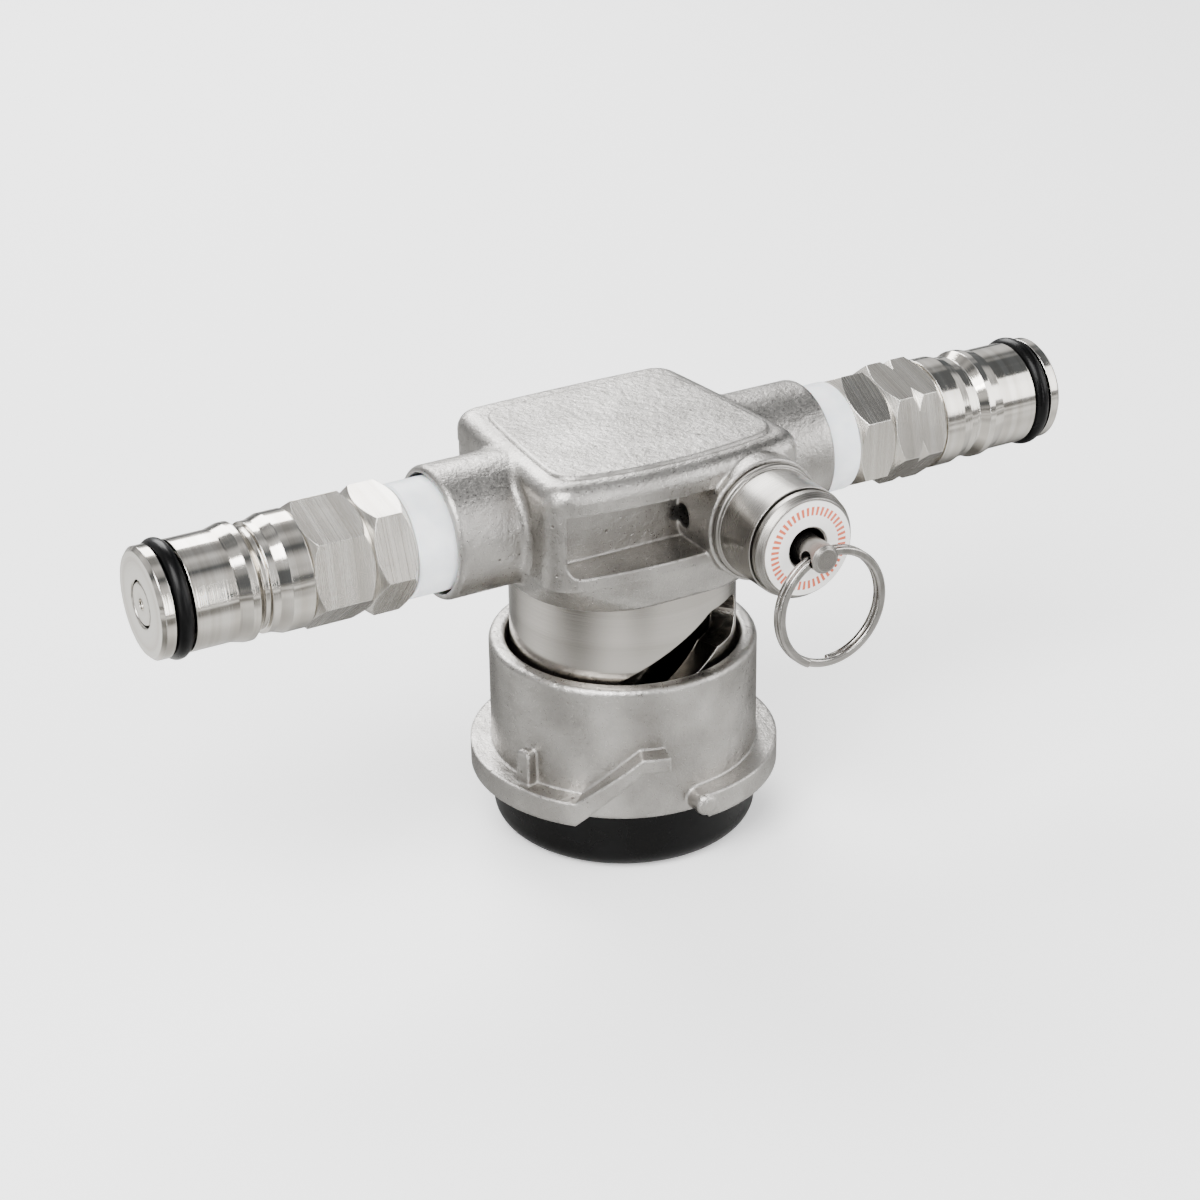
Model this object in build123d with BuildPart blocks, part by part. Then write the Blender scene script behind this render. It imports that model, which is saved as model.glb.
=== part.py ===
from build123d import *
import os
from math import cos, radians, sin, sqrt

# Low-profile keg coupler with two ball lock posts and a pull-ring relief valve.
# Millimetres. +Z is up, Z = 0 is the underside of the rubber that seals on the keg valve,
# the Z axis is the coupler's own axis, the two arms lie along X and the relief valve points to -Y.
# Seen from above, the head turns clockwise and its cam slots draw it down into the collar.

# ---- Clearances ----
run_gap = 0.3        # between faces that pass each other without guiding
fit_gap = 0.05       # radial clearance of a guided fit
seat_gap = 0.15      # between a valve's rubber and its seat

# ---- Tapping motion ----
head_drop = 12.8     # how far the head comes down
head_turn = 71.0     # degrees over which the cam slots fall
dwell_turn = 16.0    # level end of each cam slot, where the pins park
head_clear = 0.6     # block to collar rim when tapped

# ---- Lock collar and its seal ----
skirt_play = 0.8     # between the skirt and the collar round it
collar_wall = 2.65
lug_reach = 3.45     # how far the lugs stand out from the collar
seal_step = 0.15     # the rubber's lip stands in from the collar
seal_wall = 1.4
seal_bore_r = 13.5
seal_edge_r = 3.4    # rounding of the seal's lower outer edge
seal_floor_t = 2.6   # rubber under the collar
shoulder_z = 9.9     # where the rubber lip meets the collar
floor_t = 3.4
collar_top_z = 32.6
rim_outer_r = 1.0
rim_inner_r = 0.5
lug_t = 4.0
lug_tip_t = 2.4
lug_edge_r = 1.1
lug_start = 92.0     # degrees, level stretch of the first lug
lug_knee = 222.0     # where the ramp starts to rise
lug_tip = 246.6      # where it levels out
lug_end = 257.0
lug_rise = 8.2
stop_angle = 197.0
stop_w = 2.6
stop_h = 5.8
stop_t = 1.9
nub_r = 1.9          # rounded nub at the start of each lug
nub_proud = 0.35     # beyond the lug's own reach

# ---- Cam pins and skirt ----
skirt_r = 18.3       # sizes the collar, its seal and the block's foot too
skirt_wall = 4.0
pin_d = 6.5
pin_seat = 1.7       # depth of the blind seat in the collar wall
slot_side_gap = 0.3
slot_ease = 0.06     # the slot's run is this much narrower than its round ends
pin_angle = 221.0
foot_band = 2.6      # metal left under the slots
skirt_spigot_wall = 2.3
skirt_spigot_len = 4.0

# ---- Probe ----
probe_r = 11.0
probe_bore_r = 8.2
probe_tip_z = 3.2
beer_tube_r = 4.8
beer_tube_bore_r = 3.8
tube_tip_z = 1.6
tube_press = 3.8
tube_bead_r = 5.5
tube_bead_z = 2.6
tube_bead_t = 1.0
tip_seal_r = 7.2
tip_seal_z = 0.8
tip_seal_top_z = 4.8
probe_ring_d = 1.8   # section of the O-ring in the collar floor

# ---- Head block ----
axis_above_block = 11.8
block_h = 22.6
plateau_h = 0.5
plateau_in = 3.2      # step between the outline of the top and its raised middle
plateau_back_in = 4.8
foot_margin = 1.3     # the underside is rounder and follows the skirt
foot_flat = 1.4       # how much less it spans from front to back
foot_corner_r = 15.0
top_margin = 0.2      # the top's back corners beyond the underside
top_flare = 2.8       # how much wider it is at its front corners
front_bulge = 2.6
back_bulge = 0.5
top_corner_r = 4.6
plate_t = 6.0
pocket_h = 10.4
pocket_up = 1.2       # middle of the pockets above the arms' axis
pocket_low_r = 3.0    # rounding along the pocket's lower inner corner
pocket_side_r = 2.6   # and at its lower ends
top_edge_r = 2.8
arm_rim_r = 1.0
pocket_floor_y = 13.0
pocket_wall = 2.4     # left at the pockets' ends
cast_r = 1.5          # soft inner corners where the arms leave the block
arm_r = 10.6
arm_root_x = 14.0     # where the arms start inside the block
arm_len = 11.4        # beyond the block's widest corners
socket_r = 9.6
socket_depth = 5.8
thread_r = 7.5
thread_depth = 15.5   # from the arm's end
beer_way_r = 4.0
beer_drop_r = 3.0      # step above the tube's end
beer_way_start = -5.0
gas_way_r = 4.0
gas_way_start = 6.4
gas_drop_r = 1.3
gas_drop_x = 6.9
relief_way_r = 2.5
boss_x = 12.4
boss_r = 10.0
boss_root_y = 10.0
boss_proud = 1.7      # beyond the block's front

# ---- Arm fittings ----
sleeve_r = 9.0
sleeve_proud = 5.9
hex_af = 17.5
hex_chamfer = 1.4
hex_face_in = 0.25    # chamfer circle inside the flats
nut_len = 7.0
washer_t = 1.5
stub_r = 6.6
stub_len = 9.6
fitting_bore_r = 2.6
post_hex_len = 10.2
post_len = 33.95
post_waist_r = 9.15
waist_len = 3.5
post_barrel_r = 8.55
post_catch_r = 7.9
post_lip_r = 9.08
post_rim_r = 8.6
post_rim_len = 2.1
post_ring_d = 2.7
post_ring_out_r = 9.2
notch_depth = 1.1
chamber_r = 5.5
nose_hole_r = 3.6
nose_hole_edge = 0.2
poppet_play = 0.25    # round the nose in its hole
poppet_flange_r = 5.0
poppet_flange_t = 1.3
poppet_sunk = 0.1
dimple_r = 0.9
dimple_depth = 0.4
poppet_stem_r = 1.5
poppet_stem_len = 9.0
poppet_ring_d = 1.6
spring_wire_d = 0.8
poppet_spring_turns = 5
poppet_spring_r = 3.7
washer_r = 7.0
bill_r = 3.4
bill_bore_r = 2.0
bill_body_len = 2.0
bill_len = 5.6
bill_tip_t = 1.0
nut_turn = {"left": 50.5, "right": 32.5}    # which way each hexagon's corner points
post_turn = {"left": 39.0, "right": 16.5}

# ---- Relief valve ----
relief_seat_y = 11.0
relief_seat_t = 1.4
relief_seat_r = 3.2
relief_spigot_r = 7.5
relief_flange_r = 9.5
relief_flange_t = 1.2
relief_body_r = 8.9
relief_body_len = 9.4
relief_bore_r = 5.8
vent_y = 14.6
vent_r = 2.0
cap_r = 8.6
cap_groove = 0.4
cap_groove_r = 7.9
cap_rim_t = 1.0
cap_face_r = 7.9
cap_len = 2.4
cap_hole_r = 3.25
cap_spigot_len = 2.4
label_r = 7.6
label_t = 0.3
disc_r = 5.0
disc_t = 1.2
foot_r = 5.3
foot_t = 1.4
stem_r = 2.3
stem_proud = 5.3      # beyond the cap
eye_in = 2.2          # middle of the eye from the stem's end
eye_r = 1.55
relief_spring_turns = 5
relief_spring_r = 4.2

# ---- Pull ring ----
ring_mean_r = 9.2
ring_band = 1.3
ring_coil_t = 0.9
ring_edge_r = 0.35
ring_coil_gap = 0.06
ring_turns = 1.92
ring_tilt = 1.6      # how far the ring hangs forward of plumb
ring_lean = 13.0     # the stem is turned by this much, so the ring leans towards +X

# ---- Derived heights and stations ----
collar_bore_r = skirt_r + skirt_play
collar_r = collar_bore_r + collar_wall
lug_r = collar_r + lug_reach
seal_r = collar_r - seal_step
spigot_r = seal_r - seal_wall
floor_top_z = seal_floor_t + floor_t
skirt_bore_r = skirt_r - skirt_wall
skirt_foot_z = floor_top_z + head_drop + run_gap
slot_w = pin_d + 2 * slot_side_gap
pin_z = skirt_foot_z + foot_band + slot_w / 2
block_z = collar_top_z + head_drop + head_clear
axis_z = block_z + axis_above_block
block_top_z = block_z + block_h
seat_z = block_z + skirt_spigot_len       # ceiling on which skirt and probe body seat
tube_top_z = seat_z + tube_press
skirt_spigot_r = skirt_bore_r + skirt_spigot_wall
foot_half = skirt_r + foot_margin
foot_y = foot_half - foot_flat
back_half = foot_half + top_margin
back_y = back_half
front_half = back_half + top_flare
front_y = foot_y
pocket_end_x = front_half - pocket_wall
arm_end_x = front_half + arm_len
socket_floor_x = arm_end_x - socket_depth
thread_floor_x = arm_end_x - thread_depth
boss_end_y = front_y + front_bulge + boss_proud
relief_body_end_y = boss_end_y + relief_body_len
cap_end_y = relief_body_end_y + cap_len
stem_end_y = cap_end_y + stem_proud
eye_y = stem_end_y - eye_in
nut_x = arm_end_x + sleeve_proud
post_x = nut_x + nut_len
post_end_x = post_x + post_len
chamber_end_x = post_end_x - 5.6
poppet_nose_r = nose_hole_r - poppet_play
chamber_cone = chamber_r - nose_hole_r
post_ring_x = post_end_x - post_rim_len - post_ring_d / 2 - 0.25
poppet_ring_r = poppet_nose_r + poppet_ring_d / 2
poppet_ring_x = chamber_end_x + chamber_r - poppet_ring_r - sqrt(2) * (poppet_ring_d / 2 + seat_gap)
poppet_flange_x = poppet_ring_x - poppet_ring_d / 2
stub_end_x = post_x + stub_len
arm_axis = Axis((0, 0, axis_z), (1, 0, 0))
relief_axis = Axis((boss_x, 0, axis_z), (0, -1, 0))
disc_y = relief_seat_y + relief_seat_t + seat_gap
stem_foot_y = disc_y + disc_t
spring_y = stem_foot_y + foot_t
cap_y = relief_body_end_y
spring_end_y = cap_y - cap_spigot_len

os.makedirs("parts", exist_ok=True)


def finish(built, name):
    """Label a finished piece and write it as its own STEP file."""
    built.part.label = name
    export_step(built.part, f"parts/{name}.step")


def upright(angle=0.0, z=0.0):
    """Vertical plane through the Z axis: local x runs outwards at that angle, local y runs up."""
    a = radians(angle)
    return Plane(origin=(0, 0, z), x_dir=(cos(a), sin(a), 0), z_dir=(sin(a), -cos(a), 0))


def facing(angle, radius, z):
    """Plane square to a radius: local x runs round the axis, local y runs up."""
    a = radians(angle)
    return Plane(
        origin=(radius * cos(a), radius * sin(a), z),
        x_dir=(-sin(a), cos(a), 0),
        z_dir=(cos(a), sin(a), 0),
    )


def arm_plane(side):
    """Plane along one arm: local x runs outwards along the arm's axis, local y runs up."""
    return Plane(origin=(0, 0, axis_z), x_dir=(side, 0, 0), z_dir=(0, -side, 0))


def arm_section(side, x):
    """Plane square to one arm at a station."""
    return Plane(origin=(side * x, 0, axis_z), x_dir=(0, 1, 0), z_dir=(side, 0, 0))


relief_plane = Plane(origin=(boss_x, 0, axis_z), x_dir=(0, -1, 0), z_dir=(-1, 0, 0))


def relief_section(y):
    """Plane square to the relief valve's axis, at a distance out from the coupler's axis."""
    return Plane(origin=(boss_x, -y, axis_z), x_dir=(1, 0, 0), z_dir=(0, -1, 0))


# ---- Lock collar: bored cup with two bayonet lugs that each end in a rising ramp ----
def lug_section(angle, rise, thick):
    """Section of a lug at one angle; its root is buried in the collar wall."""
    top = shoulder_z + lug_t + rise
    root_r = collar_r - 1.0
    with BuildSketch(upright(angle)) as section:
        with Locations(((root_r + lug_r) / 2, top - thick / 2)):
            Rectangle(lug_r - root_r, thick)
        fillet(section.vertices().group_by(Axis((0, 0, 0), upright(angle).x_dir))[-1], lug_edge_r)
    return section.sketch


ramp_steps = 5
with BuildPart() as lock_collar:
    with BuildSketch(Plane.XZ):
        with BuildLine():
            Polyline(
                (probe_r + run_gap, seal_floor_t),
                (spigot_r, seal_floor_t),
                (spigot_r, shoulder_z),
                (collar_r, shoulder_z),
                (collar_r, collar_top_z),
                (collar_bore_r, collar_top_z),
                (collar_bore_r, shoulder_z),
                (skirt_r + run_gap, shoulder_z),
                (skirt_r + run_gap, floor_top_z),
                (probe_r + run_gap, floor_top_z),
                close=True,
            )
        make_face()
    revolve(axis=Axis.Z)
    rim = lock_collar.edges().filter_by(GeomType.CIRCLE).group_by(Axis.Z)[-1].sort_by(SortBy.RADIUS)
    fillet(rim[-1], rim_outer_r)
    fillet(rim[0], rim_inner_r)
    with BuildSketch(upright()):
        with Locations((probe_r + run_gap, seal_floor_t + floor_t / 2)):
            Rectangle(2 * (probe_ring_d + 0.1), probe_ring_d + 0.2)
    revolve(axis=Axis.Z, mode=Mode.SUBTRACT)

with BuildPart() as lug:
    add(lug_section(lug_start, 0.0, lug_t))
    revolve(axis=Axis.Z, revolution_arc=lug_knee - lug_start)
with BuildPart() as ramp:
    for step in range(ramp_steps + 1):
        share = step / ramp_steps
        ramp_angle = lug_knee + share * (lug_tip - lug_knee)
        add(lug_section(ramp_angle, share * lug_rise, lug_t + share * (lug_tip_t - lug_t)))
    loft()
with BuildPart() as tip:
    add(lug_section(lug_tip, lug_rise, lug_tip_t))
    revolve(axis=Axis.Z, revolution_arc=lug_end - lug_tip)
with BuildPart() as stop_rib:
    with BuildSketch(facing(stop_angle, collar_r - 1.0, shoulder_z + lug_t / 2)):
        with Locations((0, (lug_t / 2 + stop_h) / 2)):
            Rectangle(stop_w, lug_t / 2 + stop_h)
    extrude(amount=stop_t + 1.0)
    fillet(stop_rib.edges().group_by(Axis.Z)[-1], 0.9)
with BuildPart() as nub:
    with BuildSketch(facing(lug_start, collar_r - 1.0, shoulder_z + lug_t / 2)):
        Circle(nub_r)
    extrude(amount=lug_reach + nub_proud + 1.0)
    nub_end = nub.edges().sort_by(lambda edge: Vector(edge.center().X, edge.center().Y, 0).length)[-1]
    fillet(nub_end, nub_r * 0.6)
with BuildPart() as pin_seats:
    for angle in (pin_angle, pin_angle + 180):
        with BuildSketch(facing(angle, collar_bore_r - 1.0, pin_z)):
            Circle(pin_d / 2)
        extrude(amount=pin_seat + 1.0)

with lock_collar:
    with PolarLocations(0, 2):
        for piece in (lug, ramp, tip, stop_rib, nub):
            add(piece.part)
    add(pin_seats.part, mode=Mode.SUBTRACT)
finish(lock_collar, "lock_collar")

# ---- Rubber boot under the collar ----
with BuildPart() as bottom_seal:
    with BuildSketch(Plane.XZ) as seal_section:
        with BuildLine():
            Polyline(
                (seal_bore_r, 0),
                (seal_r, 0),
                (seal_r, shoulder_z),
                (spigot_r, shoulder_z),
                (spigot_r, seal_floor_t),
                (seal_bore_r, seal_floor_t),
                close=True,
            )
        make_face()
    revolve(axis=Axis.Z)
    foot_edges = bottom_seal.edges().filter_by(GeomType.CIRCLE).group_by(Axis.Z)[0].sort_by(SortBy.RADIUS)
    fillet(foot_edges[-1], seal_edge_r)
    fillet(foot_edges[0], 0.6)
finish(bottom_seal, "bottom_seal")

# ---- O-ring in the collar floor, round the probe ----
with BuildPart() as probe_o_ring:
    with BuildSketch(Plane.XZ):
        with Locations((probe_r + fit_gap + probe_ring_d / 2, seal_floor_t + floor_t / 2)):
            Circle(probe_ring_d / 2)
    revolve(axis=Axis.Z)
finish(probe_o_ring, "probe_o_ring")

# ---- Cam pins, pressed into blind seats in the collar wall ----
pin_inner_r = skirt_bore_r + 0.2
with BuildPart() as cam_pins:
    for angle in (pin_angle, pin_angle + 180):
        with BuildSketch(facing(angle, pin_inner_r, pin_z)):
            Circle(pin_d / 2)
        extrude(amount=collar_bore_r + pin_seat - pin_inner_r)
    inner_rims = cam_pins.edges().filter_by(GeomType.CIRCLE).filter_by(
        lambda edge: (edge.arc_center.X ** 2 + edge.arc_center.Y ** 2) ** 0.5 < pin_inner_r + 0.1
    )
    chamfer(inner_rims, 0.5)
finish(cam_pins, "cam_pins")

# ---- Cam slot: helical fall, then a level dwell ----
slot_reach = skirt_wall + 2.0
slot_mid_r = skirt_r - skirt_wall / 2
with BuildPart() as cam_slot:
    with BuildLine() as fall:
        Helix(pitch=head_drop * 360 / head_turn, height=head_drop, radius=slot_mid_r)
    with BuildSketch(Plane(origin=fall.line @ 0, x_dir=(1, 0, 0), z_dir=fall.line % 0)):
        Rectangle(slot_reach, slot_w - slot_ease)
    sweep(path=fall.line, is_frenet=True)
    for angle, height in ((0, 0), (head_turn, head_drop), (head_turn + dwell_turn, head_drop)):
        with BuildSketch(facing(angle, slot_mid_r - slot_reach / 2, height)):
            Circle(slot_w / 2)
        extrude(amount=slot_reach)
    with BuildSketch(upright(head_turn, head_drop)):
        with Locations((slot_mid_r, 0)):
            Rectangle(slot_reach, slot_w - slot_ease)
    revolve(axis=Axis.Z, revolution_arc=dwell_turn)

with BuildPart() as cam_skirt:
    with BuildSketch(Plane.XZ):
        with BuildLine():
            Polyline(
                (skirt_bore_r, skirt_foot_z),
                (skirt_r, skirt_foot_z),
                (skirt_r, block_z),
                (skirt_spigot_r, block_z),
                (skirt_spigot_r, seat_z),
                (skirt_bore_r, seat_z),
                close=True,
            )
        make_face()
    revolve(axis=Axis.Z)
    skirt_foot = cam_skirt.edges().filter_by(GeomType.CIRCLE).group_by(Axis.Z)[0]
    chamfer(skirt_foot, 0.4)
    with PolarLocations(0, 2, start_angle=pin_angle):
        with Locations((0, 0, pin_z)):
            add(cam_slot.part, mode=Mode.SUBTRACT)
finish(cam_skirt, "cam_skirt")

# ---- Probe body: outer wall of the gas way ----
with BuildPart() as probe_body:
    with BuildSketch(Plane.XY.offset(probe_tip_z)):
        Circle(probe_r)
        Circle(probe_bore_r, mode=Mode.SUBTRACT)
    extrude(amount=seat_z - probe_tip_z)
    probe_tip = probe_body.edges().filter_by(GeomType.CIRCLE).group_by(Axis.Z)[0].sort_by(SortBy.RADIUS)
    chamfer(probe_tip[-1], 1.2)
    chamfer(probe_tip[0], 0.5)
finish(probe_body, "probe_body")

# ---- Beer tube down the middle, with a bead that holds the tip seal ----
with BuildPart() as beer_tube:
    with BuildSketch(Plane.XZ):
        with BuildLine():
            Polyline(
                (beer_tube_bore_r, tube_tip_z),
                (beer_tube_r, tube_tip_z),
                (beer_tube_r, tube_bead_z),
                (tube_bead_r, tube_bead_z),
                (tube_bead_r, tube_bead_z + tube_bead_t),
                (beer_tube_r, tube_bead_z + tube_bead_t),
                (beer_tube_r, tube_top_z),
                (beer_tube_bore_r, tube_top_z),
                close=True,
            )
        make_face()
    revolve(axis=Axis.Z)
finish(beer_tube, "beer_tube")

# ---- Rubber tip that stays still on the keg valve while the tube turns in it ----
with BuildPart() as probe_seal:
    with BuildSketch(Plane.XZ):
        with BuildLine():
            Polyline(
                (beer_tube_bore_r, tip_seal_z),
                (tip_seal_r - 0.8, tip_seal_z),
                (tip_seal_r, tip_seal_z + 0.8),
                (tip_seal_r, tip_seal_top_z - 0.6),
                (tip_seal_r - 0.6, tip_seal_top_z),
                (beer_tube_r + fit_gap, tip_seal_top_z),
                (beer_tube_r + fit_gap, tube_bead_z + tube_bead_t + fit_gap),
                (tube_bead_r + fit_gap, tube_bead_z + tube_bead_t + fit_gap),
                (tube_bead_r + fit_gap, tube_bead_z - fit_gap),
                (beer_tube_r + fit_gap, tube_bead_z - fit_gap),
                (beer_tube_r + fit_gap, tube_tip_z - fit_gap),
                (beer_tube_bore_r, tube_tip_z - fit_gap),
                close=True,
            )
        make_face()
    revolve(axis=Axis.Z)
finish(probe_seal, "probe_seal")


# ---- Head casting: block with a pocket front and back, two arm sockets and the valve boss ----
def block_outline(z, rear, front, rear_y, fore_y, bulge, corner_r):
    """Plan of the block at one height: four crowned sides with rounded corners."""
    side_x = (rear + front) / 2 + 0.5
    side_y = (rear_y - fore_y) / 2
    with BuildSketch(Plane.XY.offset(z)) as outline:
        with BuildLine():
            ThreePointArc((-rear, rear_y), (0, rear_y + back_bulge), (rear, rear_y))
            ThreePointArc((rear, rear_y), (side_x, side_y), (front, -fore_y))
            ThreePointArc((front, -fore_y), (0, -fore_y - bulge), (-front, -fore_y))
            ThreePointArc((-front, -fore_y), (-side_x, side_y), (-rear, rear_y))
        make_face()
        fillet(outline.vertices(), corner_r)
    return outline.sketch


def top_outline(z, inset=0.0, back_inset=0.0):
    """Plan of the block's upper part, or the same plan drawn in."""
    return block_outline(
        z,
        back_half - inset,
        front_half - inset,
        back_y - back_inset,
        front_y - inset,
        front_bulge,
        top_corner_r,
    )


with BuildPart() as plateau:
    add(top_outline(block_top_z, plateau_in, plateau_back_in))
    extrude(amount=plateau_h)
    fillet(plateau.faces().sort_by(Axis.Z)[-1].edges(), plateau_h * 0.8)

with BuildPart() as pockets:
    for toward in (-1, 1):
        pocket_y = toward * pocket_floor_y
        with BuildSketch(Plane.YZ) as pocket_section:
            with Locations((pocket_y + toward * pocket_floor_y / 2, axis_z + pocket_up)):
                Rectangle(pocket_floor_y, pocket_h)
            inner = pocket_section.vertices().group_by(Axis.Y)[0 if toward > 0 else -1].sort_by(Axis.Z)
            fillet(inner[0], pocket_low_r)
        extrude(amount=pocket_end_x, both=True)
    fillet(pockets.edges().filter_by(Axis.Y).group_by(Axis.Z)[0], pocket_side_r)

# All the ways and sockets inside the casting
with BuildPart() as head_bores:
    # Up the middle: socket for the probe body, press fit for the beer tube, then the beer way
    with BuildSketch(Plane.XZ):
        with BuildLine():
            Polyline(
                (0, block_z - 1),
                (probe_r, block_z - 1),
                (probe_r, seat_z),
                (beer_tube_r, seat_z),
                (beer_tube_r, tube_top_z),
                (beer_drop_r, tube_top_z),
                (beer_drop_r, axis_z - beer_drop_r / 2),
                (0, axis_z - beer_drop_r / 2),
                close=True,
            )
        make_face()
    revolve(axis=Axis.Z)
    # Ring groove for the skirt's spigot
    with BuildSketch(Plane.XY.offset(block_z - 1)):
        Circle(skirt_spigot_r)
        Circle(skirt_bore_r, mode=Mode.SUBTRACT)
    extrude(amount=skirt_spigot_len + 1)
    # Each arm: its beer or gas way, the tapped bore, then the counterbore for the sleeve
    for side, way_r, way_start in ((-1, beer_way_r, beer_way_start), (1, gas_way_r, gas_way_start)):
        for start_x, stop_x, bore_r in (
            (way_start, thread_floor_x, way_r),
            (thread_floor_x, socket_floor_x, thread_r),
            (socket_floor_x, arm_end_x + 1, socket_r),
        ):
            with BuildSketch(arm_section(side, start_x)):
                Circle(bore_r)
            extrude(amount=stop_x - start_x)
    # Gas drops from the right arm into the ring space round the beer tube
    with BuildSketch(Plane.XY.offset(seat_z - 1)):
        with Locations((gas_drop_x, 0)):
            Circle(gas_drop_r)
    extrude(amount=axis_z - seat_z + 1)
    # Relief valve's way and tapped bore, with the vent out into the pocket
    for start_y, stop_y, bore_r in (
        (0, relief_seat_y, relief_way_r),
        (relief_seat_y, boss_end_y + 1, relief_spigot_r),
    ):
        with BuildSketch(relief_section(start_y)):
            Circle(bore_r)
        extrude(amount=stop_y - start_y)
    with BuildSketch(Plane(origin=(boss_x, -vent_y, axis_z), z_dir=(-1, 0, 0))):
        Circle(vent_r)
    extrude(amount=boss_r + 1)

with BuildPart() as head_casting:
    add(block_outline(block_z, foot_half, foot_half, foot_y, foot_y, 0.5, foot_corner_r))
    add(top_outline(block_z + plate_t))
    loft()
    add(top_outline(block_z + plate_t))
    extrude(amount=block_h - plate_t)
    fillet(head_casting.faces().sort_by(Axis.Z)[-1].edges(), top_edge_r)
    add(pockets.part, mode=Mode.SUBTRACT)
    for side in (-1, 1):
        with BuildSketch(arm_section(side, arm_root_x)):
            Circle(arm_r)
        extrude(amount=arm_end_x - arm_root_x)
        arm_root = head_casting.edges(Select.NEW).filter_by(lambda edge: abs(edge.center().X) < arm_end_x - 1)
        fillet(arm_root, cast_r)
        arm_rim = head_casting.edges().filter_by(GeomType.CIRCLE).sort_by(Axis.X)[0 if side < 0 else -1]
        fillet(arm_rim, arm_rim_r)
    with BuildSketch(relief_section(boss_root_y)):
        Circle(boss_r)
    extrude(amount=boss_end_y - boss_root_y)
    add(plateau.part)
    add(head_bores.part, mode=Mode.SUBTRACT)
finish(head_casting, "head_casting")


# ---- Arm fittings, the same on both sides ----
hex_corner_r = hex_af / sqrt(3)


def hexagon(side, x, length, bore_r, turn):
    """Chamfered, bored hexagon on an arm; turn sets where its corners point."""
    with BuildPart() as nut:
        with BuildSketch(arm_plane(side)):
            with BuildLine():
                Polyline(
                    (x, bore_r),
                    (x, hex_af / 2 - hex_face_in),
                    (x + hex_chamfer, hex_corner_r),
                    (x + length - hex_chamfer, hex_corner_r),
                    (x + length, hex_af / 2 - hex_face_in),
                    (x + length, bore_r),
                    close=True,
                )
            make_face()
        revolve(axis=arm_axis)
        with BuildSketch(arm_section(side, x)):
            RegularPolygon(hex_af / 2, 6, major_radius=False, rotation=turn)
        extrude(amount=length, mode=Mode.INTERSECT)
    return nut.part


def coil(axis_start, axis_dir, length, mean_r, turns):
    """Compression spring between two seats; its wire lies inside the length."""
    run = length - spring_wire_d
    start = Vector(*axis_start) + Vector(*axis_dir) * (spring_wire_d / 2)
    with BuildPart() as spring:
        with BuildLine() as wire_path:
            Helix(pitch=run / turns, height=run, radius=mean_r, center=start, direction=axis_dir)
        with BuildSketch(Plane(origin=wire_path.line @ 0, z_dir=wire_path.line % 0)):
            Circle(spring_wire_d / 2)
        sweep(path=wire_path.line, is_frenet=True)
    return spring


waist_end = post_x + post_hex_len + waist_len
cone_end = waist_end + 1.8
catch_start = cone_end + 1.2
catch_end = catch_start + 0.9
lip_start = catch_end + 1.3
lip_end = lip_start + 1.1
barrel_start = lip_end + 2.0
ring_groove_half = post_ring_d / 2 + 0.25
ring_groove_r = post_ring_out_r - post_ring_d
flange_back_x = poppet_flange_x - poppet_flange_t
poppet_tip_x = post_end_x - poppet_sunk

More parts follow.
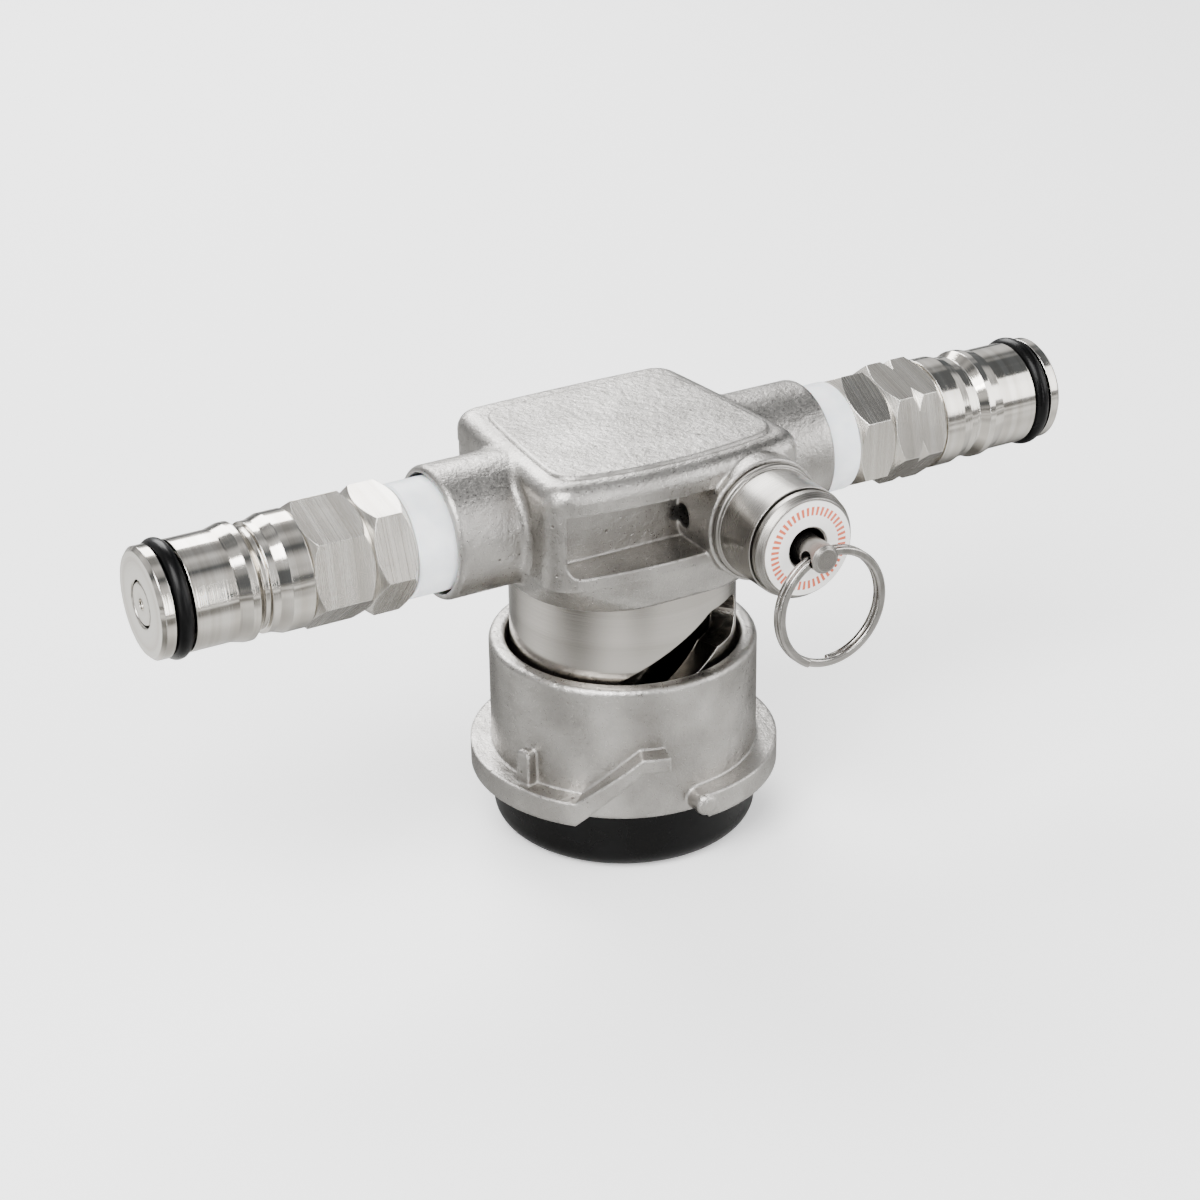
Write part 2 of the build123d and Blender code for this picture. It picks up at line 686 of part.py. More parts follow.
for side, arm in ((-1, "left"), (1, "right")):
    # White sleeve between the arm and the hexagon
    with BuildPart() as sleeve:
        with BuildSketch(arm_section(side, socket_floor_x)):
            Circle(sleeve_r)
            Circle(thread_r, mode=Mode.SUBTRACT)
        extrude(amount=nut_x - socket_floor_x)
        outer_rim = sleeve.edges().filter_by(GeomType.CIRCLE).group_by(Axis.X)[0 if side < 0 else -1]
        chamfer(outer_rim.sort_by(SortBy.RADIUS)[-1], 0.3)
    finish(sleeve, f"{arm}_sleeve")

    # Adapter: tail screwed into the arm, hexagon, and the stub that carries the post
    with BuildPart() as adapter:
        add(hexagon(side, nut_x, nut_len, fitting_bore_r, nut_turn[arm]))
        with BuildSketch(arm_plane(side)):
            with BuildLine():
                Polyline(
                    (thread_floor_x + washer_t, fitting_bore_r),
                    (thread_floor_x + washer_t, thread_r),
                    (nut_x, thread_r),
                    (nut_x, fitting_bore_r),
                    close=True,
                )
            make_face()
            with BuildLine():
                Polyline(
                    (post_x, fitting_bore_r),
                    (post_x, stub_r),
                    (stub_end_x - 0.5, stub_r),
                    (stub_end_x, stub_r - 0.5),
                    (stub_end_x, fitting_bore_r),
                    close=True,
                )
            make_face()
        revolve(axis=arm_axis)
    finish(adapter, f"{arm}_adapter")

    # Ball lock post: hexagon, waist, catch groove, lip, barrel, O-ring groove and end rim
    with BuildPart() as post:
        add(hexagon(side, post_x, post_hex_len, stub_r, post_turn[arm]))
        with BuildSketch(arm_plane(side)):
            with BuildLine():
                Polyline(
                    (post_x + post_hex_len, chamber_r),
                    (post_x + post_hex_len, post_waist_r),
                    (waist_end, post_waist_r),
                    (cone_end, post_barrel_r),
                    (catch_start, post_barrel_r),
                    (catch_start + 0.2, post_catch_r),
                    (catch_end, post_catch_r),
                    (lip_start, post_lip_r),
                    (lip_end, post_lip_r),
                    (barrel_start, post_barrel_r),
                    (post_ring_x - ring_groove_half, post_barrel_r),
                    (post_ring_x - ring_groove_half, ring_groove_r),
                    (post_ring_x + ring_groove_half, ring_groove_r),
                    (post_ring_x + ring_groove_half, post_rim_r),
                    (post_end_x - 0.6, post_rim_r),
                    (post_end_x, post_rim_r - 0.6),
                    (post_end_x, nose_hole_r + nose_hole_edge),
                    (post_end_x - nose_hole_edge, nose_hole_r),
                    (chamber_end_x + chamber_cone, nose_hole_r),
                    (chamber_end_x, chamber_r),
                    close=True,
                )
            make_face()
        revolve(axis=arm_axis)
        if arm == "right":
            # The gas post is marked by a groove that notches its hexagon's corners
            mid = post_x + post_hex_len / 2
            with BuildSketch(arm_plane(side)):
                with BuildLine():
                    Polyline(
                        (mid - notch_depth, hex_corner_r + 0.1),
                        (mid, hex_corner_r + 0.1 - notch_depth),
                        (mid + notch_depth, hex_corner_r + 0.1),
                        close=True,
                    )
                make_face()
            revolve(axis=arm_axis, mode=Mode.SUBTRACT)
    finish(post, f"{arm}_post")

    with BuildPart() as post_ring:
        with BuildSketch(arm_plane(side)):
            with Locations((post_ring_x, post_ring_out_r - post_ring_d / 2)):
                Circle(post_ring_d / 2)
        revolve(axis=arm_axis)
    finish(post_ring, f"{arm}_post_o_ring")

    # Poppet, its sealing ring and its spring
    with BuildPart() as poppet:
        with BuildSketch(arm_plane(side)):
            with BuildLine():
                Polyline(
                    (flange_back_x - poppet_stem_len, 0),
                    (flange_back_x - poppet_stem_len, poppet_stem_r),
                    (flange_back_x, poppet_stem_r),
                    (flange_back_x, poppet_flange_r),
                    (poppet_flange_x, poppet_flange_r),
                    (poppet_flange_x, poppet_nose_r),
                    (poppet_tip_x - nose_hole_edge, poppet_nose_r),
                    (poppet_tip_x, poppet_nose_r - nose_hole_edge),
                    (poppet_tip_x, dimple_r),
                    (poppet_tip_x - dimple_depth, dimple_r),
                    (poppet_tip_x - dimple_depth, 0),
                    close=True,
                )
            make_face()
        revolve(axis=arm_axis)
    finish(poppet, f"{arm}_poppet")

    with BuildPart() as poppet_ring:
        with BuildSketch(arm_plane(side)):
            with Locations((poppet_ring_x, poppet_ring_r)):
                Circle(poppet_ring_d / 2)
        revolve(axis=arm_axis)
    finish(poppet_ring, f"{arm}_poppet_seal")

    poppet_spring = coil(
        (side * stub_end_x, 0, axis_z),
        (side, 0, 0),
        flange_back_x - stub_end_x,
        poppet_spring_r,
        poppet_spring_turns,
    )
    finish(poppet_spring, f"{arm}_poppet_spring")

# ---- Washer in the beer arm, duckbill check valve in the gas arm ----
with BuildPart() as beer_washer:
    with BuildSketch(arm_section(-1, thread_floor_x)):
        Circle(washer_r)
        Circle(fitting_bore_r, mode=Mode.SUBTRACT)
    extrude(amount=washer_t)
finish(beer_washer, "beer_washer")

with BuildPart() as gas_check_valve:
    with BuildSketch(arm_section(1, thread_floor_x)):
        Circle(washer_r)
    extrude(amount=washer_t)
    with BuildSketch(arm_section(1, thread_floor_x - bill_body_len)):
        Circle(bill_r)
    extrude(amount=bill_body_len)
    with BuildSketch(arm_section(1, thread_floor_x - bill_body_len)):
        RectangleRounded(2 * bill_r * 0.98, 2 * bill_r * 0.6, bill_r * 0.55)
    with BuildSketch(arm_section(1, thread_floor_x - bill_len)):
        RectangleRounded(2 * bill_r * 0.98, bill_tip_t, bill_tip_t * 0.4)
    loft()
    with BuildSketch(arm_section(1, thread_floor_x - bill_body_len)):
        Circle(bill_bore_r)
    extrude(amount=bill_body_len + washer_t, mode=Mode.SUBTRACT)
finish(gas_check_valve, "gas_check_valve")

# ---- Relief valve body, screwed into the boss ----
with BuildPart() as relief_body:
    with BuildSketch(relief_plane):
        with BuildLine():
            Polyline(
                (relief_seat_y, relief_seat_r),
                (relief_seat_y, relief_spigot_r),
                (boss_end_y, relief_spigot_r),
                (boss_end_y, relief_flange_r),
                (boss_end_y + relief_flange_t, relief_flange_r),
                (boss_end_y + relief_flange_t, relief_body_r),
                (relief_body_end_y, relief_body_r),
                (relief_body_end_y, relief_bore_r),
                (relief_seat_y + relief_seat_t, relief_bore_r),
                (relief_seat_y + relief_seat_t, relief_seat_r),
                close=True,
            )
        make_face()
    revolve(axis=relief_axis)
    flange_rims = relief_body.edges().filter_by(GeomType.CIRCLE).filter_by(
        lambda edge: abs(edge.radius - relief_flange_r) < 0.01
    )
    fillet(flange_rims, 0.5)
    with BuildSketch(Plane(origin=(boss_x, -vent_y, axis_z), z_dir=(-1, 0, 0))):
        Circle(vent_r)
    extrude(amount=boss_r, mode=Mode.SUBTRACT)
finish(relief_body, "relief_body")

with BuildPart() as relief_cap:
    with BuildSketch(relief_plane):
        with BuildLine():
            Polyline(
                (spring_end_y, cap_hole_r),
                (spring_end_y, relief_bore_r),
                (cap_y, relief_bore_r),
                (cap_y, cap_groove_r),
                (cap_y + cap_groove, cap_groove_r),
                (cap_y + cap_groove, cap_r),
                (cap_y + cap_groove + cap_rim_t, cap_r),
                (cap_end_y, cap_face_r),
                (cap_end_y, cap_hole_r),
                close=True,
            )
        make_face()
    revolve(axis=relief_axis)
finish(relief_cap, "relief_cap")

with BuildPart() as relief_label:
    with BuildSketch(relief_section(cap_end_y)):
        Circle(label_r)
        Circle(cap_hole_r + 0.3, mode=Mode.SUBTRACT)
    extrude(amount=label_t)
finish(relief_label, "relief_label")

# ---- Relief valve's moving stem, with an eye for the ring ----
lean = radians(ring_lean)
with BuildPart() as relief_stem:
    with BuildSketch(relief_plane):
        with BuildLine():
            Polyline(
                (stem_foot_y, 0),
                (stem_foot_y, foot_r),
                (spring_y, foot_r),
                (spring_y, stem_r),
                (stem_end_y - 0.5, stem_r),
                (stem_end_y, stem_r - 0.5),
                (stem_end_y, 0),
                close=True,
            )
        make_face()
    revolve(axis=relief_axis)
    with BuildSketch(Plane(origin=(boss_x, -eye_y, axis_z), z_dir=(cos(lean), 0, sin(lean)))):
        Circle(eye_r)
    extrude(amount=stem_r + 1, both=True, mode=Mode.SUBTRACT)
finish(relief_stem, "relief_stem")

with BuildPart() as relief_disc:
    with BuildSketch(relief_section(disc_y)):
        Circle(disc_r)
    extrude(amount=disc_t)
finish(relief_disc, "relief_disc")

relief_spring = coil(
    (boss_x, -spring_y, axis_z),
    (0, -1, 0),
    spring_end_y - spring_y,
    relief_spring_r,
    relief_spring_turns,
)
finish(relief_spring, "relief_spring")

# ---- Split pull ring: two coils side by side, hung through the eye ----
tilt = radians(ring_tilt)
ring_down = Vector(sin(lean) * cos(tilt), -sin(tilt), -cos(lean) * cos(tilt))
ring_normal = Vector(-sin(lean) * sin(tilt), -cos(tilt), cos(lean) * sin(tilt))
coil_pitch = ring_coil_t + ring_coil_gap
ring_lift = coil_pitch * ring_turns
ring_start = Vector(boss_x, -eye_y, axis_z) + ring_down * ring_mean_r - ring_normal * (ring_lift / 2)
with BuildPart() as pull_ring:
    with BuildLine() as ring_path:
        Helix(
            pitch=coil_pitch,
            height=ring_lift,
            radius=ring_mean_r,
            center=ring_start,
            direction=ring_normal,
        )
    ring_out = (ring_path.line @ 0 - ring_start).normalized()
    with BuildSketch(Plane(origin=ring_path.line @ 0, x_dir=ring_out, z_dir=ring_path.line % 0)):
        RectangleRounded(ring_band, ring_coil_t, ring_edge_r)
    sweep(path=ring_path.line, is_frenet=True)
finish(pull_ring, "pull_ring")
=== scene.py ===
import bpy
from math import pi
from mathutils import Matrix, Vector


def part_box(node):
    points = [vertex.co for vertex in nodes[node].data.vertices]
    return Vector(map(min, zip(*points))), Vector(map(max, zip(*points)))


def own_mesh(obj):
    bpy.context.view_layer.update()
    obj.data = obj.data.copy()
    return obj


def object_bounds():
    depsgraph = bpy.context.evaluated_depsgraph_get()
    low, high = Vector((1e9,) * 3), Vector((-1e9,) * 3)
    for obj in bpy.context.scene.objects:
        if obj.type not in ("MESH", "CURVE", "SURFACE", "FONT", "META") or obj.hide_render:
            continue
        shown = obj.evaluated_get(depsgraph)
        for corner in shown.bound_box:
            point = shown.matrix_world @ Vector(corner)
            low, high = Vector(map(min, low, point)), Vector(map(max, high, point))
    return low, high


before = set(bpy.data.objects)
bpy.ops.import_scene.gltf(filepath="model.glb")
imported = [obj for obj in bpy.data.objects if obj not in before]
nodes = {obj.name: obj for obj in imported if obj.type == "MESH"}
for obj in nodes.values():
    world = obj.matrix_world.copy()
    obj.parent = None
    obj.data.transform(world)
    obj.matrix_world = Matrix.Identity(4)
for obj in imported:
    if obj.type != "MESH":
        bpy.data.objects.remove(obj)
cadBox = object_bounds()
mm = 0.001
print("frame loaded:", len(nodes), "CAD nodes")

# where the arms and the relief valve lie, read from their own pieces
leftLow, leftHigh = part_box("left_post_o_ring")
armHeight = (leftLow.z + leftHigh.z) / 2
discLow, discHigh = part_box("relief_disc")
reliefX = (discLow.x + discHigh.x) / 2

camera = {
    "place": (-205.915 * mm, -354.958 * mm, 239.387 * mm),
    "right": (0.86283121, -0.50541748, -0.00868711),
    "up": (0.2276394, 0.37315911, 0.89940679),
    "lens": 85.15, "sensor": 36,
    "shift": (-0.01848, -0.01010),
    "nearest": 0.01, "farthest": 50,
}


def addCamera():
    data = bpy.data.cameras.new("camera")
    data.lens = camera["lens"]
    data.sensor_width = camera["sensor"]
    data.shift_x, data.shift_y = camera["shift"]
    data.clip_start = camera["nearest"]
    data.clip_end = camera["farthest"]
    shot = bpy.data.objects.new("camera", data)
    bpy.context.scene.collection.objects.link(shot)
    right = Vector(camera["right"])
    up = Vector(camera["up"])
    back = right.cross(up)
    turn = Matrix((right, up, back)).transposed().to_4x4()
    shot.matrix_world = Matrix.Translation(Vector(camera["place"])) @ turn
    bpy.context.scene.camera = shot


addCamera()


def hexColour(code):
    parts = [int(code[i:i + 2], 16) / 255 for i in (1, 3, 5)]
    return [c / 12.92 if c <= 0.04045 else ((c + 0.055) / 1.055) ** 2.4 for c in parts] + [1.0]


# adds one node; an input is a value or another node's output socket
def addNode(tree, kind, inputs, **settings):
    node = tree.nodes.new(kind)
    for name, value in settings.items():
        setattr(node, name, value)
    for name, value in inputs.items():
        socket = node.inputs[name]
        if isinstance(value, bpy.types.NodeSocket):
            tree.links.new(value, socket)
        else:
            socket.default_value = value
    return node


# a new material, its tree and its shader
def startMaterial(name):
    material = bpy.data.materials.new(name)
    material.use_nodes = True
    tree = material.node_tree
    shader = tree.nodes["Principled BSDF"]
    return material, tree, shader


def perSize(size):
    return 1 / (size * mm)


def objectPoint(tree):
    return addNode(tree, "ShaderNodeTexCoord", {}).outputs["Object"]


def maths(tree, operation, first, second=0.0):
    return addNode(tree, "ShaderNodeMath", {0: first, 1: second}, operation=operation).outputs[0]


def vectorMaths(tree, operation, first, second):
    return addNode(tree, "ShaderNodeVectorMath", {0: first, 1: second}, operation=operation).outputs[0]


def vectorLength(tree, vector):
    return addNode(tree, "ShaderNodeVectorMath", {0: vector}, operation="LENGTH").outputs["Value"]


# a value's range of, spread over the range to
def between(tree, value, to, of=(0.0, 1.0)):
    spread = addNode(tree, "ShaderNodeMapRange", {
        "Value": value, "From Min": of[0], "From Max": of[1], "To Min": to[0], "To Max": to[1],
    })
    return spread.outputs["Result"]


def mixColours(tree, share, first, second):
    mix = addNode(tree, "ShaderNodeMix", {0: share, 6: first, 7: second}, data_type="RGBA")
    return mix.outputs[2]


# noise all round, from a look's size in mm, detail and, for some, roughness
def noise(tree, point, look):
    inputs = {"Vector": point, "Scale": perSize(look[0])}
    inputs.update(zip(("Detail", "Roughness"), look[1:]))
    return addNode(tree, "ShaderNodeTexNoise", inputs).outputs["Fac"]


# noise along one line, from a look's size in mm and detail
def lineNoise(tree, station, look):
    inputs = {"W": station, "Scale": perSize(look[0]), "Detail": look[1]}
    return addNode(tree, "ShaderNodeTexNoise", inputs, noise_dimensions="1D").outputs["Fac"]


# relief over the normal below it, from a look's strength and depth in mm
def bumped(tree, height, look, below=None):
    inputs = {"Strength": look[0], "Distance": look[1] * mm, "Height": height}
    if below is not None:
        inputs["Normal"] = below
    return addNode(tree, "ShaderNodeBump", inputs).outputs["Normal"]


def dress(tree, shader, colour, rough):
    tree.links.new(colour, shader.inputs["Base Color"])
    tree.links.new(rough, shader.inputs["Roughness"])


# share of edge: how far a rounded normal leans from the flat one
edgeLean = {"samples": 6, "share": (1.0, 0.0), "cosines": (0.86, 0.995)}


def edgeShare(tree, width):
    bevel = addNode(tree, "ShaderNodeBevel", {"Radius": width * mm}, samples=edgeLean["samples"])
    rounded = bevel.outputs["Normal"]
    flat = addNode(tree, "ShaderNodeNewGeometry", {}).outputs["Normal"]
    dot = addNode(tree, "ShaderNodeVectorMath", {0: rounded, 1: flat}, operation="DOT_PRODUCT")
    return between(tree, dot.outputs["Value"], edgeLean["share"], edgeLean["cosines"]), rounded


# noise stays mostly within this range
noiseReach = (0.3, 0.7)

# investment-cast stainless 304, bead blasted: soft grey sheen, fine grain, a few pits, and a painted
# highlight that makes the edges paler in patches
castSteelLook = {
    "pale": "#b6b3af", "dark": "#8c8985", "edge": "#cfccc8", "pitColour": "#7a7672",
    "cloud": (9.0, 5.0), "grain": (0.42, 3.0, 0.6), "skin": (1.3, 4.0, 0.65), "swell": (5.0, 2.0),
    "highlightBreakup": (1.7, 3.0), "highlightBreakupRange": (0.38, 0.68), "highlightBreakupMost": 0.9,
    "pit": 5.2, "pitShare": 0.034, "pitRim": 1.8,
    "swellRelief": (0.45, 0.16), "skinRelief": (0.85, 0.20),
    "pitRelief": (0.8, 0.10), "grainRelief": (0.6, 0.06),
    "rough": (0.24, 0.44), "edgeWidth": 0.8,
}


def castSteel():
    look = castSteelLook
    material, tree, shader = startMaterial("bead blasted cast stainless")
    point = objectPoint(tree)
    cloud = noise(tree, point, look["cloud"])
    grain = noise(tree, point, look["grain"])
    skin = noise(tree, point, look["skin"])
    swell = noise(tree, point, look["swell"])
    highlightBreakup = noise(tree, point, look["highlightBreakup"])
    pits = addNode(tree, "ShaderNodeTexVoronoi", {"Vector": point, "Scale": perSize(look["pit"])})
    pitRange = (look["pitShare"], look["pitShare"] * look["pitRim"])
    flat = between(tree, pits.outputs["Distance"], (0.0, 1.0), pitRange)
    edge, rounded = edgeShare(tree, look["edgeWidth"])
    body = mixColours(tree, between(tree, cloud, (0.0, 1.0), noiseReach),
                      hexColour(look["dark"]), hexColour(look["pale"]))
    # painted highlight: rounded edges are painted in the paler edge colour, in patches set by noise
    highlightBreakupShare = between(tree, highlightBreakup, (0.0, look["highlightBreakupMost"]), look["highlightBreakupRange"])
    edgeHighlighted = mixColours(tree, maths(tree, "MULTIPLY", edge, highlightBreakupShare), body, hexColour(look["edge"]))
    dress(tree, shader, mixColours(tree, flat, hexColour(look["pitColour"]), edgeHighlighted),
          between(tree, grain, look["rough"], noiseReach))
    normal = bumped(tree, swell, look["swellRelief"], rounded)
    normal = bumped(tree, skin, look["skinRelief"], normal)
    normal = bumped(tree, flat, look["pitRelief"], normal)
    normal = bumped(tree, grain, look["grainRelief"], normal)
    tree.links.new(normal, shader.inputs["Normal"])
    shader.inputs["Metallic"].default_value = 1.0
    return material


# stainless turned on a lathe: fine rings round the axis on walls and faces alike
def turnedSteel(name, look, along, centre):
    material, tree, shader = startMaterial(name)
    point = objectPoint(tree)
    centred = vectorMaths(tree, "SUBTRACT", point, centre)
    across = [0.0 if axis == along else 1.0 for axis in "XYZ"]
    radius = vectorLength(tree, vectorMaths(tree, "MULTIPLY", centred, across))
    place = addNode(tree, "ShaderNodeSeparateXYZ", {"Vector": centred}).outputs[along]
    # on the hexagons' flats the lines run straight across, elsewhere they follow walls and end faces
    middle = (look["flatsFrom"] + look["flatsTo"]) / 2 * mm
    offMiddle = maths(tree, "SUBTRACT", maths(tree, "ABSOLUTE", place), middle)
    halfFlats = (look["flatsTo"] - look["flatsFrom"]) / 2 * mm
    flats = maths(tree, "LESS_THAN", maths(tree, "ABSOLUTE", offMiddle), halfFlats)
    facing = maths(tree, "MULTIPLY", radius, between(tree, flats, (1.0, 0.0)))
    station = maths(tree, "ADD", place, facing)
    fine = lineNoise(tree, station, look["fine"])
    broad = lineNoise(tree, station, look["broad"])
    smear = noise(tree, point, look["smear"])
    edge, rounded = edgeShare(tree, look["edgeWidth"])
    body = mixColours(tree, between(tree, broad, (0.0, 1.0), look["broadRange"]),
                      hexColour(look["dark"]), hexColour(look["pale"]))
    blotches = maths(tree, "MULTIPLY", between(tree, fine, (0.0, 1.0), noiseReach),
                     between(tree, smear, (0.0, 1.0), noiseReach))
    shine = between(tree, blotches, look["rough"])
    brushed = between(tree, flats, (0.0, look["flatsRough"]))
    tangent = addNode(tree, "ShaderNodeTangent", {}, direction_type="RADIAL", axis=along)
    # painted highlight: rounded edges are painted in the paler edge colour
    dress(tree, shader, mixColours(tree, edge, body, hexColour(look["edge"])),
          maths(tree, "ADD", shine, brushed))
    tree.links.new(bumped(tree, fine, look["ringRelief"], rounded), shader.inputs["Normal"])
    tree.links.new(tangent.outputs["Tangent"], shader.inputs["Tangent"])
    shader.inputs["Anisotropic"].default_value = look["stretch"]
    shader.inputs["Metallic"].default_value = 1.0
    return material


# the edge colours in these looks are painted highlight for the rounded edges
turnedLook = {
    "pale": "#b3afa9", "dark": "#a5a19b", "edge": "#cfccc8",
    "fine": (0.22, 2.0), "broad": (5.0, 3.0), "smear": (12.0, 4.0), "broadRange": (0.35, 0.65),
    "rough": (0.14, 0.27), "edgeWidth": 0.25, "ringRelief": (0.10, 0.02), "stretch": 0.8,
    "flatsFrom": 0.0, "flatsTo": 0.0, "flatsRough": 0.0,
}
polishedLook = {
    "pale": "#ccc8c1", "dark": "#b9b4ac", "edge": "#eceae6",
    "fine": (0.25, 2.0), "broad": (2.2, 3.0), "smear": (8.0, 4.0), "broadRange": (0.35, 0.65),
    "rough": (0.07, 0.20), "edgeWidth": 0.22, "ringRelief": (0.2, 0.02), "stretch": 0.3,
    "flatsFrom": 39.9, "flatsTo": 57.1, "flatsRough": 0.16,
}
valveLook = dict(turnedLook, pale="#96938e", dark="#7f7c78", edge="#bbb8b4", rough=(0.26, 0.42), stretch=0.4)
wireLook = dict(polishedLook, pale="#a5a29e", dark="#8f8c88", edge="#c6c3bf", flatsFrom=0.0, flatsTo=0.0)

# nitrile rubber, moulded: near black with a soft gloss and faint bloom
rubberLook = {
    "dark": "#020202", "bloom": "#060607", "cloud": (6.0, 6.0), "bloomRange": (0.4, 0.75),
    "grain": (0.6, 2.0), "grainRelief": (0.15, 0.03), "rough": (0.22, 0.36), "gloss": 0.14, "ior": 1.52,
}


def blackRubber():
    look = rubberLook
    material, tree, shader = startMaterial("moulded nitrile rubber")
    point = objectPoint(tree)
    cloud = noise(tree, point, look["cloud"])
    bloomShare = between(tree, cloud, (0.0, 1.0), look["bloomRange"])
    dress(tree, shader, mixColours(tree, bloomShare, hexColour(look["dark"]), hexColour(look["bloom"])),
          between(tree, cloud, look["rough"], noiseReach))
    grain = noise(tree, point, look["grain"])
    tree.links.new(bumped(tree, grain, look["grainRelief"]), shader.inputs["Normal"])
    shader.inputs["IOR"].default_value = look["ior"]
    shader.inputs["Specular IOR Level"].default_value = look["gloss"]
    return material


# white nylon sleeve, turned from bar: slightly see-through at its skin, faint tool rings
nylonLook = {
    "pale": "#f4f6f8", "dark": "#e2e6ea", "cloud": (4.0, 3.0), "cloudRange": (0.35, 0.7),
    "rings": (0.5, 2.0), "ringRelief": (0.2, 0.02), "rough": (0.30, 0.42),
    "ior": 1.53, "seeThrough": 0.15, "skinDepth": 1.0,
}


def whiteNylon():
    look = nylonLook
    material, tree, shader = startMaterial("turned white nylon")
    point = objectPoint(tree)
    station = addNode(tree, "ShaderNodeSeparateXYZ", {"Vector": point}).outputs["X"]
    rings = lineNoise(tree, station, look["rings"])
    cloudShare = between(tree, noise(tree, point, look["cloud"]), (0.0, 1.0), look["cloudRange"])
    dress(tree, shader, mixColours(tree, cloudShare, hexColour(look["dark"]), hexColour(look["pale"])),
          between(tree, rings, look["rough"], noiseReach))
    tree.links.new(bumped(tree, rings, look["ringRelief"]), shader.inputs["Normal"])
    shader.inputs["IOR"].default_value = look["ior"]
    shader.inputs["Subsurface Weight"].default_value = look["seeThrough"]
    shader.inputs["Subsurface Scale"].default_value = look["skinDepth"] * mm
    return material


# printed film on the valve's cap: matt white with a ring of plain orange ticks
labelLook = {
    "film": "#f1efec", "shade": "#e3e0dc", "ink": "#c65a3a", "cloud": (3.0, 3.0),
    "band": (5.35, 6.75), "ticks": 44, "tickShare": 0.52, "rough": (0.36, 0.48),
}


def labelFilm():
    look = labelLook
    material, tree, shader = startMaterial("printed white film")
    point = objectPoint(tree)
    split = addNode(tree, "ShaderNodeSeparateXYZ", {"Vector": point})
    sideways = maths(tree, "SUBTRACT", split.outputs["X"], reliefX)
    upward = maths(tree, "SUBTRACT", split.outputs["Z"], armHeight)
    fromMiddle = addNode(tree, "ShaderNodeCombineXYZ", {"X": sideways, "Y": upward}).outputs[0]
    radius = vectorLength(tree, fromMiddle)
    turns = maths(tree, "MULTIPLY", maths(tree, "ARCTAN2", upward, sideways), look["ticks"] / (2 * pi))
    tick = maths(tree, "LESS_THAN", maths(tree, "FRACT", turns), look["tickShare"])
    inside = maths(tree, "GREATER_THAN", radius, look["band"][0] * mm)
    outside = maths(tree, "LESS_THAN", radius, look["band"][1] * mm)
    ink = maths(tree, "MULTIPLY", maths(tree, "MULTIPLY", inside, outside), tick)
    cloud = noise(tree, point, look["cloud"])
    film = mixColours(tree, cloud, hexColour(look["shade"]), hexColour(look["film"]))
    dress(tree, shader, mixColours(tree, ink, film, hexColour(look["ink"])),
          between(tree, cloud, look["rough"]))
    return material


armCentre = (0, 0, armHeight)
reliefCentre = (reliefX, 0, armHeight)
castSteelMaterial = castSteel()
skirtSteel = turnedSteel("turned stainless, upright", turnedLook, "Z", (0, 0, 0))
reliefSteel = turnedSteel("turned stainless, relief valve", valveLook, "Y", reliefCentre)
armSteel = turnedSteel("polished stainless, arms", polishedLook, "X", armCentre)
wireSteel = turnedSteel("drawn stainless wire", wireLook, "Y", reliefCentre)
rubber = blackRubber()
nylon = whiteNylon()
film = labelFilm()

finishes = {
    "lock_collar": castSteelMaterial, "head_casting": castSteelMaterial,
    "cam_skirt": skirtSteel, "probe_body": skirtSteel, "beer_tube": skirtSteel, "cam_pins": skirtSteel,
    "bottom_seal": rubber, "probe_o_ring": rubber, "probe_seal": rubber, "gas_check_valve": rubber,
    "beer_washer": nylon, "relief_body": reliefSteel, "relief_cap": reliefSteel, "relief_stem": reliefSteel,
    "relief_disc": rubber, "relief_spring": wireSteel, "relief_label": film, "pull_ring": wireSteel,
}
for arm in ("left", "right"):
    finishes.update({
        f"{arm}_sleeve": nylon, f"{arm}_adapter": armSteel, f"{arm}_post": armSteel,
        f"{arm}_post_o_ring": rubber, f"{arm}_poppet": armSteel, f"{arm}_poppet_seal": rubber,
        f"{arm}_poppet_spring": wireSteel,
    })
for name, finish in finishes.items():
    mesh = nodes[name].data
    mesh.materials.clear()
    mesh.materials.append(finish)
print("materials given to", len(finishes), "CAD nodes")

# each spring with its joint, its axis and its fixed end, the lower (0) or the upper (1); here it only gets a
# mesh of its own, its ends read but not used
springs = {
    "left_poppet_spring": ("left_poppet_press", "x", 1),
    "right_poppet_spring": ("right_poppet_press", "x", 0),
    "relief_spring": ("relief_pull", "y", 0),
}
for name, (joint, along, fixedEnd) in springs.items():
    ends = [getattr(corner, along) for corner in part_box(name)]
    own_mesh(nodes[name])
print("springs ready:", len(springs))

# near-white floor and soft studio light; a lamp is its name, place, width, height and power
studio = {
    "floorColour": "#ffffff", "floorHalf": 6.0, "floorRough": 0.7, "glow": 0.42,
    "mirroredPale": "#c8c8c6", "mirroredDark": "#4c4b49", "flags": (150.0, 1.0), "flagRange": (0.40, 0.60),
    "lamps": [
        ("keySoftbox", (-0.45, -0.35, 0.75), 0.55, 0.55, 14.0),
        ("fillSoftbox", (0.65, -0.45, 0.40), 0.60, 0.60, 5.0),
        ("backSoftbox", (0.10, 0.65, 0.55), 0.50, 0.50, 9.0),
        ("stripLeft", (-0.52, -0.30, 0.16), 0.05, 0.70, 1.6),
        ("stripRight", (0.10, -0.62, 0.14), 0.04, 0.60, 1.2),
    ],
    "aimShare": 0.8,
    "worldPale": "#ffffff", "worldDark": "#6a6d70", "worldStrength": 1.22,
    "worldScale": 1.9, "worldDetail": 1.0, "worldRange": (0.40, 0.58),
}


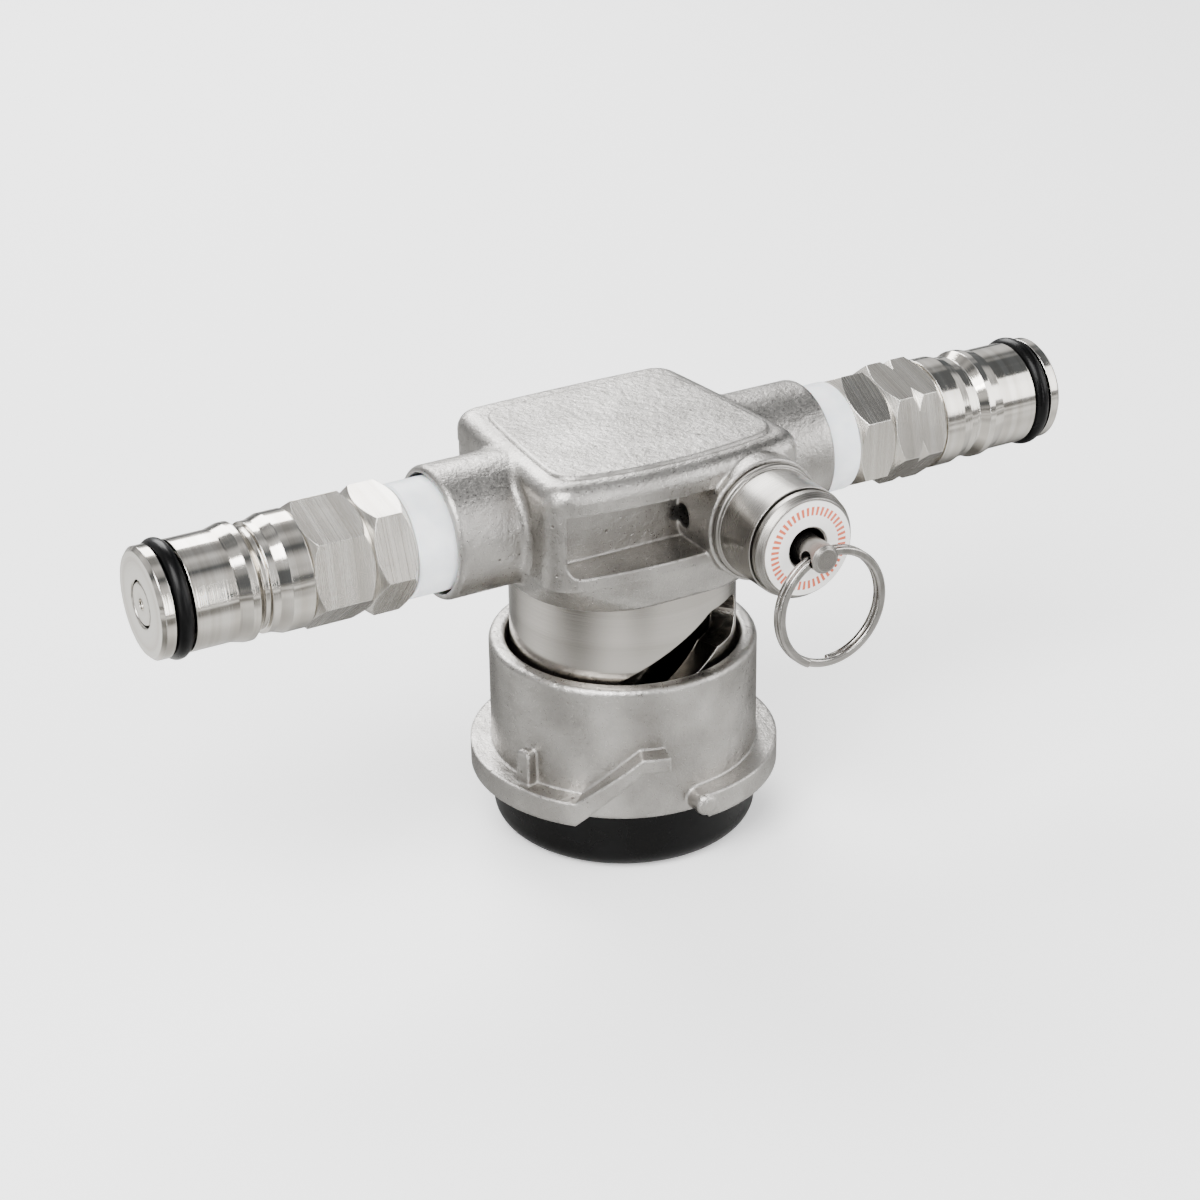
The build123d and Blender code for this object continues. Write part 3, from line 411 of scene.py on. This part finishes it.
def addFloor():
    bpy.ops.object.select_all(action="DESELECT")
    bpy.ops.mesh.primitive_plane_add(size=2 * studio["floorHalf"], location=(0, 0, cadBox[0].z))
    floor = bpy.context.object
    floor.name = "studio_floor"
    material, tree, shader = startMaterial("pale floor")
    # the metal mirrors grey flags that lie out of the camera's sight
    rays = addNode(tree, "ShaderNodeLightPath", {})
    flags = between(tree, noise(tree, objectPoint(tree), studio["flags"]), (0.0, 1.0), studio["flagRange"])
    mirrored = mixColours(tree, flags, hexColour(studio["mirroredDark"]), hexColour(studio["mirroredPale"]))
    floorColour = hexColour(studio["floorColour"])
    seen = mixColours(tree, rays.outputs["Is Glossy Ray"], floorColour, mirrored)
    tree.links.new(seen, shader.inputs["Base Color"])
    # a light table under the floor, seen by the camera alone, lifts it to near white
    glow = between(tree, rays.outputs["Is Camera Ray"], (0.0, studio["glow"]))
    tree.links.new(glow, shader.inputs["Emission Strength"])
    shader.inputs["Emission Color"].default_value = floorColour
    shader.inputs["Roughness"].default_value = studio["floorRough"]
    floor.data.materials.append(material)


def addLamps():
    aim = Vector((0, 0, armHeight * studio["aimShare"]))
    for name, place, width, height, power in studio["lamps"]:
        data = bpy.data.lights.new(name, "AREA")
        data.shape = "RECTANGLE"
        data.size = width
        data.size_y = height
        data.energy = power
        lamp = bpy.data.objects.new(name, data)
        bpy.context.scene.collection.objects.link(lamp)
        lamp.location = place
        lamp.rotation_euler = (aim - Vector(place)).to_track_quat("-Z", "Y").to_euler()


# the room: pale, with broad darker patches for the metal to mirror
def addWorld():
    world = bpy.data.worlds.new("studio")
    bpy.context.scene.world = world
    world.use_nodes = True
    tree = world.node_tree
    background = tree.nodes["Background"]
    patches = addNode(tree, "ShaderNodeTexNoise", {
        "Vector": addNode(tree, "ShaderNodeTexCoord", {}).outputs["Generated"],
        "Scale": studio["worldScale"], "Detail": studio["worldDetail"],
    })
    share = between(tree, patches.outputs["Fac"], (0.0, 1.0), studio["worldRange"])
    colour = mixColours(tree, share, hexColour(studio["worldDark"]), hexColour(studio["worldPale"]))
    tree.links.new(colour, background.inputs["Color"])
    background.inputs["Strength"].default_value = studio["worldStrength"]


addFloor()
addLamps()
addWorld()
print("studio ready")
